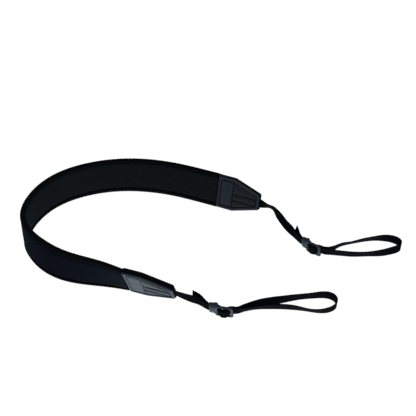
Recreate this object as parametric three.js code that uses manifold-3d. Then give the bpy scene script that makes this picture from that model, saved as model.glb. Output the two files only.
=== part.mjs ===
// A padded neck strap that stands on its lower edge: a curved band, and at each of its ends
// a cap, a run of webbing, a slide buckle and a closed loop.
// Millimetres and degrees, +Z up. The bend is towards -X, and the near end towards -Y.
import * as THREE from "three";
import { mergeVertices } from "three/addons/utils/BufferGeometryUtils.js";
import Module from "manifold-3d";

const wasm = await Module();
wasm.setup();

// Driving dimensions
const pieceGap = 0.3; // left between two pieces that meet
const padLength = 450; // between the two caps, along the middle of the band
const padWidth = 41;
const padHeading = 157; // the way the band sets off from its near end
const bindingThickness = 6; // over both folds of the tape
const bindingWrap = 4.2; // how far the tape reaches over each face
const bindingWall = 1;
const panelThickness = 5.6; // of the whole band, between the puffed faces
const panelPinch = 0.5; // how far each face sinks beside the tape
const capLength = 55;
const capShoulder = 21.5; // length at full width, before the taper
const capField = 20.5; // length up to the sunk line beside the bare field
const capWidth = 40;
const capTipWidth = 19;
const capTipDrop = 0.8; // how far the narrow end lies below the middle of the band
const capWebbingDrop = 2.2; // and how far the webbing leaves it below the same middle
const capCorner = 2.5;
const capCoreThickness = 4.2;
const capEdgeRound = 1.2;
const capFaceThickness = 1;
const capFaceInset = 1;
const capRim = 3.4; // from the face's edge to the sunk line inside it
const capGroove = 0.8;
const capGrooveDepth = 0.5;
const capTunnel = 7.4; // between the two lines over the webbing
const webbingWidth = 10;
const webbingThickness = 1.3;
const webbingChamfer = 0.3;
const webbingHold = 12; // length inside the cap
const webbingFit = 0.3; // clearance round the webbing in what it passes through
const tailLength = 19; // of the cut end, past the keeper
const tailCurve = 1.3; // power of the length by which it springs away, 1 for a straight tail
const buckleThickness = 2.6;
const buckleRail = 1.6;
const slotRoom = 0.9; // free height of a slot under the webbing
const buckleCorner = 1.6;
const outerBar = 2.7; // beside the keeper
const loopBar = 3; // beside the loop
const centreBar = 2.6;
const buckleSlot = 5.1;
const keeperLength = 6.2;
const gussetLength = 5.5; // along the frame, of the webs that brace the keeper
const keeperWall = 1.4;
const keeperCorner = 3.2;
const plasticEdge = 0.4;
const humpRise = 0.4; // how far the webbing stands off the centre bar
const weldDistance = 1e-4;

// Rows stand at even steps along the band, from its near end to its far end:
// how far it has turned from padHeading, and how far its top leans outwards.
const padRows = [
  { turn: 0, lean: 27 },
  { turn: 7, lean: 12 },
  { turn: -18, lean: 1 },
  { turn: -41, lean: 2 },
  { turn: -73, lean: 2 },
  { turn: -95, lean: 4 },
  { turn: -122, lean: 7 },
  { turn: -145, lean: 10 },
  { turn: -166, lean: 13 },
  { turn: -181, lean: 13 },
  { turn: -185, lean: 13 },
];

// Each end's webbing. run stands between the cap and the keeper: turn from the cap's heading, lean
// to the left of its way, and the share of the way down from cap to buckle. loop goes from the
// buckle round and back: turn from the buckle's heading, lean, and height in webbing widths.
// capRaise is how far the cap sits above the band's middle. The cut end springs away from the run by
// tailSpread and twists back by tailTwist.
const ends = {
  near: {
    capRaise: 1.5,
    runLength: 35.5,
    buckleTurn: 10,
    buckleLean: -18,
    run: [
      { turn: 7, lean: -17, drop: 0.19 },
      { turn: 12, lean: -8, drop: 0.41 },
      { turn: -4, lean: -14, drop: 0.66 },
    ],
    loopLength: 228,
    loop: [
      { turn: 12, lean: -28, height: 0.9 },
      { turn: 28, lean: -38, height: 0.98 },
      { turn: 20, lean: -26, height: 0.88 },
      { turn: 8, lean: -25, height: 0.78 },
      { turn: 2, lean: -38, height: 0.65 },
      { turn: 39, lean: -21, height: 0.61 },
      { turn: 107, lean: -1, height: 0.56 },
      { turn: 194, lean: 11, height: 0.52 },
      { turn: 206, lean: 20, height: 0.58 },
      { turn: 214, lean: 10, height: 0.72 },
      { turn: 215, lean: -6, height: 0.9 },
      { turn: 219, lean: -6, height: 1.05 },
      { turn: 199, lean: 16, height: 0.93 },
    ],
    tailSpread: 4,
    tailTwist: 40,
  },
  far: {
    capRaise: 0,
    runLength: 79.5,
    buckleTurn: -12,
    buckleLean: -11,
    run: [
      { turn: -8, lean: -36, drop: 0 },
      { turn: -41, lean: -4, drop: 0.1 },
      { turn: -37, lean: 15, drop: 0.16 },
      { turn: -36, lean: 17, drop: 0.38 },
      { turn: -30, lean: 20, drop: 0.53 },
      { turn: -32, lean: -3, drop: 0.75 },
    ],
    loopLength: 198,
    loop: [
      { turn: 7, lean: -17, height: 0.86 },
      { turn: 32, lean: -23, height: 0.9 },
      { turn: 40, lean: -25, height: 0.79 },
      { turn: 48, lean: -27, height: 0.74 },
      { turn: 54, lean: -10, height: 0.7 },
      { turn: 70, lean: 1, height: 0.77 },
      { turn: 143, lean: -6, height: 0.64 },
      { turn: 203, lean: 6, height: 0.53 },
      { turn: 234, lean: 29, height: 0.52 },
      { turn: 246, lean: 36, height: 0.64 },
      { turn: 249, lean: 41, height: 0.79 },
      { turn: 261, lean: 27, height: 1.04 },
      { turn: 197, lean: 13, height: 0.89 },
    ],
    tailSpread: 3,
    tailTwist: 20,
  },
};

const vertical = new THREE.Vector3(0, 0, 1);
const { degToRad, lerp } = THREE.MathUtils;

// A level direction, from its heading in degrees.
function headed(heading) {
  return new THREE.Vector3(Math.cos(degToRad(heading)), Math.sin(degToRad(heading)), 0);
}

// The upward edge of a band that goes along heading and leans to its left.
function leaning(heading, lean) {
  return vertical
    .clone()
    .multiplyScalar(Math.cos(degToRad(lean)))
    .addScaledVector(headed(heading + 90), Math.sin(degToRad(lean)));
}

// Walks from start along the rows' headings in even steps, and gives a station at each: its place,
// its upward edge and its heading, with a level way at both ends. heightOf gives a row's height.
function walk({ start, heading, length, steps, rows, heightOf }) {
  const columns = rows.map((row) => new THREE.Vector3(row.turn, row.lean, row.drop ?? row.height ?? 0));
  const course = new THREE.CatmullRomCurve3(columns, false, "catmullrom");
  const here = start.clone();
  const stations = [];
  for (let i = 0; i <= steps; i++) {
    const row = course.getPoint(i / steps);
    if (i > 0) {
      const midway = course.getPoint((i - 0.5) / steps);
      here.addScaledVector(headed(heading + midway.x), length / steps);
    }
    stations.push({
      at: here.clone().setZ(heightOf(row)),
      up: leaning(heading + row.x, row.y),
      heading: heading + row.x,
    });
  }
  for (const station of [stations[0], stations.at(-1)]) station.along = headed(station.heading);
  return stations;
}

// Moves a walk's far end onto a place, and spreads the move evenly along the walk.
function arriveAt(stations, place) {
  const miss = place.clone().sub(stations.at(-1).at);
  stations.forEach((station, i) => station.at.addScaledVector(miss, i / (stations.length - 1)));
  return stations;
}

// The path of a band through its stations. A profile's X points to the left, and its Y along the upward edge.
class BandPath extends THREE.Curve {
  constructor(stations) {
    super();
    this.stations = stations;
  }

  get steps() {
    return this.stations.length - 1;
  }

  getPoint(share) {
    return this.stations[Math.round(share * this.steps)].at.clone();
  }

  getPointAt(share) {
    return this.getPoint(share);
  }

  computeFrenetFrames() {
    const frames = { tangents: [], normals: [], binormals: [] };
    this.stations.forEach((station, i) => {
      const before = this.stations[Math.max(i - 1, 0)].at;
      const after = this.stations[Math.min(i + 1, this.steps)].at;
      const tangent = station.along ?? after.clone().sub(before).normalize();
      const left = station.up.clone().cross(tangent).normalize();
      frames.tangents.push(tangent);
      frames.normals.push(left);
      frames.binormals.push(tangent.clone().cross(left));
    });
    return frames;
  }
}

// Sweeps a closed profile of [left, up] points along stations.
function sweep(stations, profile) {
  const shape = new THREE.Shape(profile.map(([left, up]) => new THREE.Vector2(left, up)));
  const extrudePath = new BandPath(stations);
  return new THREE.ExtrudeGeometry(shape, { steps: extrudePath.steps, extrudePath });
}

// A geometry as a solid that can be joined and cut.
function solidOf(geometry) {
  const bare = geometry.clone();
  bare.deleteAttribute("normal");
  bare.deleteAttribute("uv");
  const merged = mergeVertices(bare, weldDistance);
  return new wasm.Manifold(
    new wasm.Mesh({
      numProp: 3,
      vertProperties: merged.attributes.position.array,
      triVerts: new Uint32Array(merged.index.array),
    }),
  );
}

// A joined or cut solid as a geometry.
function geometryOf(solid) {
  const { vertProperties, triVerts } = solid.getMesh();
  const geometry = new THREE.BufferGeometry();
  geometry.setAttribute("position", new THREE.BufferAttribute(vertProperties, 3));
  geometry.setIndex(new THREE.BufferAttribute(triVerts, 1));
  return geometry;
}

// A local frame: X along a heading, Z along a leaning upward edge, Y to the left.
function frameAt(origin, heading, lean) {
  const along = headed(heading);
  const upward = leaning(heading, lean);
  const left = upward.clone().cross(along);
  return new THREE.Matrix4().makeBasis(along, left, upward).setPosition(origin);
}

// Turns a shape that was drawn in X and Y and extruded along Z, so that it stands in local X and Z
// and its thickness runs to the right, from rightFrom on.
function standing(geometry, rightFrom) {
  return geometry.rotateX(Math.PI / 2).translate(0, -rightFrom, 0);
}

// A box in a local frame, from its lowest to its highest corner.
function boxBetween(low, high) {
  const size = high.map((value, i) => value - low[i]);
  const centre = high.map((value, i) => (value + low[i]) / 2);
  return new THREE.BoxGeometry(...size).translate(...centre);
}

// The band: stations along its middle, resting on its rounded lower edge.
const edgeRadius = bindingThickness / 2;
const padSteps = 50;
const padStations = walk({
  start: new THREE.Vector3(),
  heading: padHeading,
  length: padLength,
  steps: padSteps,
  rows: padRows,
  heightOf: (row) => (padWidth / 2 - edgeRadius) * Math.cos(degToRad(row.y)) + edgeRadius,
});

const channelHalf = bindingThickness / 2 - bindingWall;
const lipHeight = padWidth / 2 - bindingWrap;

// The tape folded over the band's upper edge, as a channel that opens downwards.
function bindingProfile() {
  const arcPoints = 6;
  const crown = [];
  for (let i = 0; i <= arcPoints; i++) {
    const angle = (Math.PI * i) / arcPoints;
    crown.push([edgeRadius * Math.cos(angle), padWidth / 2 - edgeRadius + edgeRadius * Math.sin(angle)]);
  }
  const channelTop = padWidth / 2 - bindingWall;
  return [
    [channelHalf, lipHeight],
    [edgeRadius, lipHeight],
    ...crown,
    [-edgeRadius, lipHeight],
    [-channelHalf, lipHeight],
    [-channelHalf, channelTop],
    [channelHalf, channelTop],
  ];
}

// One half of the band on the left of its middle: a puffed face, and thin edges tucked into the tape.
function panelProfile() {
  const face = panelThickness / 2;
  const tuck = channelHalf - pieceGap;
  const edge = padWidth / 2 - bindingWall - pieceGap;
  const shoulder = lipHeight - pieceGap;
  const crownShare = 0.6; // of the shoulder's height: where the face has risen in full
  const bendShare = 0.6; // of the way from there to the shoulder: where the face bends down
  const bendSink = panelPinch / 3;
  const upperFace = [
    [face, shoulder * crownShare],
    [face - bendSink, shoulder * lerp(crownShare, 1, bendShare)],
    [face - panelPinch, shoulder],
    [tuck, shoulder],
    [tuck, edge],
  ];
  const lowerFace = upperFace.map(([left, up]) => [left, -up]).reverse();
  const backParts = 5; // so that the two backs stay apart where the band twists
  const back = [];
  for (let i = 0; i <= backParts; i++) back.push([pieceGap / 2, lerp(edge, -edge, i / backParts)]);
  return [...lowerFace, ...upperFace, ...back];
}

// Turns a profile half round, to the other face or edge of the band.
function turned(profile) {
  return profile.map(([left, up]) => [-left, -up]);
}

// The outline of a cap in its frame, from the band's end at X 0, drawn in by inset all round.
function capOutline(inset) {
  const wide = capWidth / 2 - inset;
  const tip = capTipWidth / 2 - inset;
  const start = pieceGap + inset;
  const end = capLength - inset;
  const corner = Math.max(capCorner - inset, pieceGap);
  const taperRise = (corner * (wide - tip)) / (end - capShoulder); // of the taper along a corner
  const outline = new THREE.Shape();
  outline.moveTo(start, -wide);
  outline.lineTo(capShoulder, -wide);
  outline.lineTo(end - corner, -capTipDrop - tip - taperRise);
  outline.quadraticCurveTo(end, -capTipDrop - tip, end, -capTipDrop - tip + corner);
  outline.lineTo(end, -capTipDrop + tip - corner);
  outline.quadraticCurveTo(end, -capTipDrop + tip, end - corner, -capTipDrop + tip + taperRise);
  outline.lineTo(capShoulder, wide);
  outline.lineTo(start, wide);
  outline.closePath();
  return outline;
}

// The core of a cap, with rounded edges and a pocket in its narrow end for the webbing.
function capCore() {
  const core = new THREE.ExtrudeGeometry(capOutline(capEdgeRound), {
    depth: capCoreThickness - 2 * capEdgeRound,
    bevelThickness: capEdgeRound,
    bevelSize: capEdgeRound,
    bevelSegments: 2,
    curveSegments: 4,
  });
  standing(core, -capCoreThickness / 2 + capEdgeRound);
  const pocketHalf = webbingThickness / 2 + webbingFit;
  const pocketHeight = webbingWidth / 2 + webbingFit;
  const pocket = boxBetween(
    [capLength - webbingHold - pieceGap, -pocketHalf, -capWebbingDrop - pocketHeight],
    [capLength + 1, pocketHalf, -capWebbingDrop + pocketHeight],
  );
  return solidOf(core).subtract(solidOf(pocket));
}

// A groove cut into a face from its outer surface, along a straight line between two points.
function grooveBetween([fromX, fromZ], [toX, toZ], faceOut) {
  const run = Math.hypot(toX - fromX, toZ - fromZ);
  const groove = new THREE.BoxGeometry(run, 2 * capGrooveDepth, capGroove);
  groove.rotateY(-Math.atan2(toZ - fromZ, toX - fromX));
  return solidOf(groove.translate((fromX + toX) / 2, -faceOut, (fromZ + toZ) / 2));
}

// The face on the right of a cap: a rim, a bare field beside the band, and a tapered field
// with the two lines over the webbing, all parted by sunk lines.
function capFace() {
  const faceIn = capCoreThickness / 2 + pieceGap;
  const faceOut = faceIn + capFaceThickness;
  const plate = new THREE.ExtrudeGeometry(capOutline(capFaceInset), {
    depth: capFaceThickness,
    bevelEnabled: false,
    curveSegments: 4,
  });
  let face = solidOf(standing(plate, faceIn));
  const ring = capOutline(capFaceInset + capRim);
  ring.holes.push(capOutline(capFaceInset + capRim + capGroove));
  const ringCut = new THREE.ExtrudeGeometry(ring, {
    depth: 2 * capGrooveDepth,
    bevelEnabled: false,
    curveSegments: 3,
  });
  face = face.subtract(solidOf(standing(ringCut, faceOut - capGrooveDepth)));
  const lineInset = capFaceInset + capRim + capGroove / 2;
  const lineHigh = capWidth / 2 - lineInset;
  const lineEnd = capLength - lineInset;
  face = face.subtract(grooveBetween([capField, -lineHigh], [capField, lineHigh], faceOut));
  for (const side of [-1, 1]) {
    const height = -capWebbingDrop + (side * capTunnel) / 2;
    face = face.subtract(grooveBetween([capField, height], [lineEnd, height], faceOut));
  }
  return face;
}

// A slide buckle in its frame: the keeper ends at X 0, and two slots lie either side of the centre bar.
// Heights are measured from the webbing's middle, which keeps to the top of the slots.
const slotHigh = webbingWidth / 2 + webbingFit;
const slotLow = -slotHigh - slotRoom;
const buckleHigh = slotHigh + buckleRail;
const buckleLow = slotLow - buckleRail;
const nearSlot = outerBar;
const farSlot = outerBar + buckleSlot + centreBar;
const buckleLength = farSlot + buckleSlot + loopBar;
const layerPitch = webbingThickness + pieceGap;
const layerNear = buckleThickness / 2 + webbingFit + webbingThickness / 2; // the layer against the bars
const layerFar = layerNear + layerPitch;
const keeperDepth = layerFar + webbingThickness / 2 + webbingFit; // to the inside of its back wall

function roundedRectangle(path, low, high, corner) {
  path.moveTo(low[0] + corner, low[1]);
  path.lineTo(high[0] - corner, low[1]);
  path.quadraticCurveTo(high[0], low[1], high[0], low[1] + corner);
  path.lineTo(high[0], high[1] - corner);
  path.quadraticCurveTo(high[0], high[1], high[0] - corner, high[1]);
  path.lineTo(low[0] + corner, high[1]);
  path.quadraticCurveTo(low[0], high[1], low[0], high[1] - corner);
  path.lineTo(low[0], low[1] + corner);
  path.quadraticCurveTo(low[0], low[1], low[0] + corner, low[1]);
  return path;
}

function buckle() {
  const plate = new THREE.Shape();
  roundedRectangle(plate, [0, buckleLow], [buckleLength, buckleHigh], buckleCorner);
  for (const slot of [nearSlot, farSlot]) {
    const hole = new THREE.Path();
    plate.holes.push(roundedRectangle(hole, [slot, slotLow], [slot + buckleSlot, slotHigh], plasticEdge));
  }
  const frame = new THREE.ExtrudeGeometry(plate, {
    depth: buckleThickness - 2 * plasticEdge,
    bevelThickness: plasticEdge,
    bevelSize: plasticEdge,
    bevelOffset: -plasticEdge,
    bevelSegments: 1,
    curveSegments: 3,
  });
  standing(frame, -buckleThickness / 2 + plasticEdge);

  const front = -buckleThickness / 2;
  const back = keeperDepth + keeperWall;
  const sleeve = new THREE.Shape();
  roundedRectangle(sleeve, [front, -buckleHigh], [back, buckleHigh], keeperCorner);
  const mouth = new THREE.Path();
  roundedRectangle(mouth, [buckleThickness / 2, -slotHigh], [keeperDepth, slotHigh], plasticEdge);
  sleeve.holes.push(mouth);
  const keeper = new THREE.ExtrudeGeometry(sleeve, {
    depth: keeperLength + outerBar / 2,
    bevelEnabled: false,
    curveSegments: 3,
  });
  // Drawn across and up, extruded along.
  keeper.applyMatrix4(
    new THREE.Matrix4().makeBasis(
      new THREE.Vector3(0, 1, 0),
      new THREE.Vector3(0, 0, 1),
      new THREE.Vector3(1, 0, 0),
    ),
  );
  keeper.translate(-keeperLength, 0, 0);

  const web = new THREE.Shape();
  web.moveTo(-outerBar / 2, 0);
  web.lineTo(gussetLength, 0);
  web.lineTo(outerBar / 2, back - keeperCorner);
  web.lineTo(-outerBar / 2, back - keeperCorner);
  web.closePath();
  let body = solidOf(frame).add(solidOf(keeper));
  for (const foot of [-buckleHigh, slotHigh]) {
    const gusset = new THREE.ExtrudeGeometry(web, { depth: buckleRail, bevelEnabled: false });
    body = body.add(solidOf(gusset.translate(0, 0, foot)));
  }
  return body;
}

// How the two layers of webbing climb from behind the outer bar, through a slot and over the centre
// bar: the share of the climb, and for each layer the share of the way from slot to bar.
const climb = [
  { rise: 0, outer: -0.15, inner: -0.25 },
  { rise: 0.13, outer: 0.15, inner: 0.33 },
  { rise: 0.42, outer: 0.29, inner: 0.57 },
  { rise: 0.74, outer: 0.41, inner: 0.64 },
  { rise: 0.98, outer: 0.63, inner: 0.78 },
];

// The way of one layer of webbing through the buckle, from the keeper to the loop, as points in the
// buckle's frame: behind the outer bar, over the centre bar, and back behind the other bar.
function layerThrough(layer, depth, crest) {
  const layerSteps = 24;
  const middle = farSlot - centreBar / 2;
  const half = [
    [-keeperLength, depth],
    [-keeperLength / 2, depth],
    ...climb.map((row) => [lerp(nearSlot, middle, row[layer]), lerp(depth, crest, row.rise)]),
  ];
  const mirrored = half.map(([x, y]) => [2 * middle - x, y]).reverse();
  mirrored[mirrored.length - 1][0] = buckleLength + 1;
  const points = [...half, [middle, crest], ...mirrored].map(([x, y]) => new THREE.Vector3(x, y, 0));
  return new THREE.CatmullRomCurve3(points, false, "centripetal").getSpacedPoints(layerSteps);
}

const outerLayer = layerThrough("outer", layerNear, -layerFar - humpRise);
const innerLayer = layerThrough("inner", layerFar, -layerNear - humpRise / 2);

const webbingProfile = (() => {
  const x = webbingThickness / 2;
  const y = webbingWidth / 2;
  const cut = webbingChamfer;
  return [
    [x, cut - y],
    [x, y - cut],
    [x - cut, y],
    [cut - x, y],
    [-x, y - cut],
    [-x, cut - y],
    [cut - x, -y],
    [x - cut, -y],
  ];
})();

// Height of the webbing's middle in a leaning buckle whose foot is on the floor.
function buckleRest(lean) {
  return -buckleLow * Math.cos(degToRad(lean)) + (buckleThickness / 2) * Math.abs(Math.sin(degToRad(lean)));
}

// One end of the strap: its cap's frame, its buckle's frame and the webbing's stations.
function strapEnd(end) {
  const { padEnd, capHeading, capLean, capRaise, runLength, run } = end;
  const { buckleTurn, buckleLean, loopLength, loop, tailSpread, tailTwist } = end;
  const capUp = leaning(capHeading, capLean);
  const capFoot = padEnd.clone().addScaledVector(capUp, capRaise);
  const capFrame = frameAt(capFoot, capHeading, capLean);
  const exit = new THREE.Vector3(capLength, 0, -capWebbingDrop).applyMatrix4(capFrame);
  const held = new THREE.Vector3(capLength - webbingHold, 0, -capWebbingDrop).applyMatrix4(capFrame);

  const buckleHeading = capHeading + buckleTurn;
  const sidewise = frameAt(new THREE.Vector3(), buckleHeading, buckleLean);
  const entryOffset = new THREE.Vector3(-keeperLength, layerNear, 0).applyMatrix4(sidewise);
  const entryHeight = buckleRest(buckleLean) + entryOffset.z;
  const runStep = 4;
  const runStations = walk({
    start: exit,
    heading: capHeading,
    length: runLength,
    steps: Math.round(runLength / runStep),
    rows: [
      { turn: 0, lean: capLean, drop: 0 },
      ...run,
      { turn: buckleTurn, lean: buckleLean, drop: 1 },
    ],
    heightOf: (row) => lerp(exit.z, entryHeight, row.z),
  });
  const entry = runStations.at(-1).at;
  const buckleFrame = frameAt(entry.clone().sub(entryOffset), buckleHeading, buckleLean);

  const buckleUp = leaning(buckleHeading, buckleLean);
  const place = (point) => ({ at: point.clone().applyMatrix4(buckleFrame), up: buckleUp });
  const outbound = outerLayer.map(place);
  const inbound = innerLayer.map(place).reverse();
  const loopStep = 5;
  const loopStations = walk({
    start: outbound.at(-1).at,
    heading: buckleHeading,
    length: loopLength,
    steps: Math.round(loopLength / loopStep),
    rows: loop,
    heightOf: (row) => row.z * webbingWidth,
  });
  arriveAt(loopStations, inbound[0].at);

  // The cut end follows the run back, one layer behind it, and springs away from it.
  const tail = [];
  const tailSteps = 5;
  for (let i = 1; i <= tailSteps; i++) {
    const back = (tailLength * i) / tailSteps / (runLength / (runStations.length - 1));
    const index = runStations.length - 1 - back;
    const low = runStations[Math.floor(index)];
    const high = runStations[Math.ceil(index)];
    const at = low.at.clone().lerp(high.at, index - Math.floor(index));
    const spring = (i / tailSteps) ** tailCurve;
    at.addScaledVector(headed(low.heading + 90), layerPitch + tailSpread * spring);
    const up = low.up.clone().applyAxisAngle(headed(low.heading), degToRad(-tailTwist * spring));
    tail.push({ at, up });
  }

  const webbing = [
    { at: held, up: capUp },
    ...runStations,
    ...outbound.slice(1),
    ...loopStations.slice(1, -1),
    ...inbound,
    ...tail,
  ];
  return { capFrame, buckleFrame, webbing };
}

const colours = {
  outerPanel: 0x0d111c,
  innerPanel: 0x0f1315,
  binding: 0x08090b,
  cap: 0x2a303d,
  webbing: 0x0d1113,
  plastic: 0x454b57,
};

const strap = new THREE.Group();

function addPiece(name, geometry, colour, roughness) {
  const material = new THREE.MeshStandardMaterial({ color: colour, roughness, metalness: 0 });
  const mesh = new THREE.Mesh(geometry, material);
  mesh.name = name;
  strap.add(mesh);
}

addPiece("upper_binding", sweep(padStations, bindingProfile()), colours.binding, 0.9);
addPiece("lower_binding", sweep(padStations, turned(bindingProfile())), colours.binding, 0.9);
addPiece("outer_panel", sweep(padStations, panelProfile()), colours.outerPanel, 0.75);
addPiece("inner_panel", sweep(padStations, turned(panelProfile())), colours.innerPanel, 0.85);

const nearStation = padStations[0];
const farStation = padStations.at(-1);
const padEnds = {
  near: {
    padEnd: nearStation.at,
    capHeading: nearStation.heading - 180,
    capLean: -padRows[0].lean,
    outerSide: "right",
  },
  far: {
    padEnd: farStation.at,
    capHeading: farStation.heading,
    capLean: padRows.at(-1).lean,
    outerSide: "left",
  },
};

for (const side of ["near", "far"]) {
  const end = strapEnd({ ...padEnds[side], ...ends[side] });
  addPiece(`${side}_cap_core`, geometryOf(capCore()).applyMatrix4(end.capFrame), colours.binding, 0.9);
  const right = geometryOf(capFace());
  const left = geometryOf(capFace().mirror([0, 1, 0]));
  const [outer, inner] = padEnds[side].outerSide === "right" ? [right, left] : [left, right];
  addPiece(`${side}_cap_outer`, outer.applyMatrix4(end.capFrame), colours.cap, 0.6);
  addPiece(`${side}_cap_inner`, inner.applyMatrix4(end.capFrame), colours.cap, 0.6);
  addPiece(`${side}_webbing`, sweep(end.webbing, webbingProfile), colours.webbing, 0.9);
  addPiece(`${side}_buckle`, geometryOf(buckle()).applyMatrix4(end.buckleFrame), colours.plastic, 0.4);
}

// The origin is the middle of the ground that the strap covers, on the floor.
const bounds = new THREE.Box3().setFromObject(strap, true);
const middle = bounds.getCenter(new THREE.Vector3());
strap.position.set(-middle.x, -middle.y, -bounds.min.z);

const part = new THREE.Group();
part.add(strap);

export default part;
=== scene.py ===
import math

import bpy
import numpy as np
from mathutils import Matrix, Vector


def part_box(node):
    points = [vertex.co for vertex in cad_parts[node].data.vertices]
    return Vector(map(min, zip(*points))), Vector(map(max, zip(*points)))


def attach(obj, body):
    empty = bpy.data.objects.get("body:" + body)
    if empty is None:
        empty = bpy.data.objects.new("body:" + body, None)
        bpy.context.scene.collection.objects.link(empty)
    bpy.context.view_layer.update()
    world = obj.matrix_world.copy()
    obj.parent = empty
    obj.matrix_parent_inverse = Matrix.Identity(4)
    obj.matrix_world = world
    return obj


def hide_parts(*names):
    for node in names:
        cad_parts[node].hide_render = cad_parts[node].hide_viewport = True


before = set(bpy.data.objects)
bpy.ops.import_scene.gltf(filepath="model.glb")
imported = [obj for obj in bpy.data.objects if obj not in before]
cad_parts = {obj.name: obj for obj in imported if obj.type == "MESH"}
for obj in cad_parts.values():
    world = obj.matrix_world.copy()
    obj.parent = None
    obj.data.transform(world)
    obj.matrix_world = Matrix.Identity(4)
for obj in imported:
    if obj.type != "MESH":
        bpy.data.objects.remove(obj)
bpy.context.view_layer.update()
print("frame loaded")

# A padded neck strap that stands on its lower edge. Lengths are in metres and angles in degrees.
# The band is a profile carried along a line of stations, and each end is a cap, a webbing and a buckle.

upright = np.array([0.0, 0.0, 1.0])
fineStep = 0.0005  # between the stations of every line
sharpAngle = 50  # between two faces, from which their edge is shaded sharp
almost = 0.999  # share of a rounding at which it stops, just short of its steep end


def lerp(low, high, share):
    # low plus the share of the way from low to high.
    return low + (high - low) * share


def unit(vectors):
    # Vectors divided by their own lengths.
    return vectors / np.linalg.norm(vectors, axis=-1, keepdims=True)


def smoothStep(low, high, value):
    # 0 below low and 1 above high, with 3s^2 - 2s^3 between them.
    share = np.clip((value - low) / (high - low), 0, 1)
    return share * share * (3 - 2 * share)


def bumpAt(value, width):
    # A smooth bell of height 1 about 0: e to the minus (value / width) squared.
    return np.exp(-((value / width) ** 2))


def headed(heading):
    # A level unit vector: the cosine and sine of its heading.
    angle = np.radians(heading)
    return np.stack([np.cos(angle), np.sin(angle), 0 * angle], -1)


def leaning(heading, lean):
    # The upward edge of a band: cos(lean) of straight up plus sin(lean) of the way to its left.
    angle = np.radians(lean)[..., None]
    return np.cos(angle) * upright + np.sin(angle) * headed(heading + 90)


def courseAt(columns, shares):
    # Catmull-Rom through evenly spaced rows, going straight on past the first and last row.
    rows = np.array(columns, float).T
    padded = np.vstack([2 * rows[0] - rows[1], rows, 2 * rows[-1] - rows[-2]])
    place = shares * (len(rows) - 1)
    index = np.minimum(place.astype(int), len(rows) - 2)
    t = (place - index)[:, None]
    a, b, c, d = (padded[index + k] for k in range(4))
    return 0.5 * (2 * b + (c - a) * t + (2 * a - 5 * b + 4 * c - d) * t**2 + (3 * b - a - 3 * c + d) * t**3)


def walk(start, heading, length, columns, heightOf):
    # Even steps from start, each along the course's heading half way through it. columns are the
    # turn, the lean and what heightOf turns into a height.
    count = round(length / fineStep)
    rows = courseAt(columns, np.linspace(0, 1, count + 1))
    midway = courseAt(columns, (np.arange(count) + 0.5) / count)
    steps = headed(heading + midway[:, 0]) * length / count
    at = start + np.vstack([0 * upright, np.cumsum(steps, 0)])
    at[:, 2] = heightOf(rows[:, 1], rows[:, -1])
    headings = heading + rows[:, 0]
    return {"at": at, "up": leaning(headings, rows[:, 1]), "heading": headings, "lean": rows[:, 1]}


def framesAlong(at, up):
    # Unit vectors along the line, to its left and along its upward edge, by central differences.
    forward = unit(np.gradient(at, axis=0))
    left = unit(np.cross(up, forward))
    return left, np.cross(forward, left)


def carried(at, up, across, along):
    # A profile of across (to the left) and along (the upward edge) carried past every station.
    left, upward = framesAlong(at, up)
    across = np.broadcast_to(across, (len(at), np.shape(across)[-1]))
    along = np.broadcast_to(along, (len(at), np.shape(along)[-1]))
    return at[:, None] + left[:, None] * across[..., None] + upward[:, None] * along[..., None]


def localFrame(origin, heading, lean):
    # An origin with three axes: along the heading, to the left, and the leaning upward edge.
    up = leaning(np.float64(heading), np.float64(lean))
    forward = headed(np.float64(heading))
    return {"origin": np.array(origin), "axes": np.array([forward, np.cross(up, forward), up])}


def placed(local, points):
    # Points in a local frame, in the strap's own frame.
    return local["origin"] + np.asarray(points) @ local["axes"]


def lengthsAlong(points):
    # The way covered up to each point of a line.
    return np.concatenate([[0], np.cumsum(np.linalg.norm(np.diff(points, axis=0), axis=1))])


def respaced(values, way, spacing):
    # Columns of values at even spacing along the way.
    even = np.linspace(0, way[-1], round(way[-1] / spacing) + 1)
    return np.stack([np.interp(even, way, column) for column in values.T], -1)


def softened(values, reach):
    # A moving average over reach stations to each side, with the two ends kept.
    padded = np.concatenate([
        2 * values[:1] - values[reach:0:-1],
        values,
        2 * values[-1:] - values[-2 : -2 - reach : -1],
    ])
    sums = np.cumsum(np.concatenate([0 * values[:1], padded]), 0)
    return (sums[2 * reach + 1 :] - sums[: -2 * reach - 1]) / (2 * reach + 1)


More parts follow.
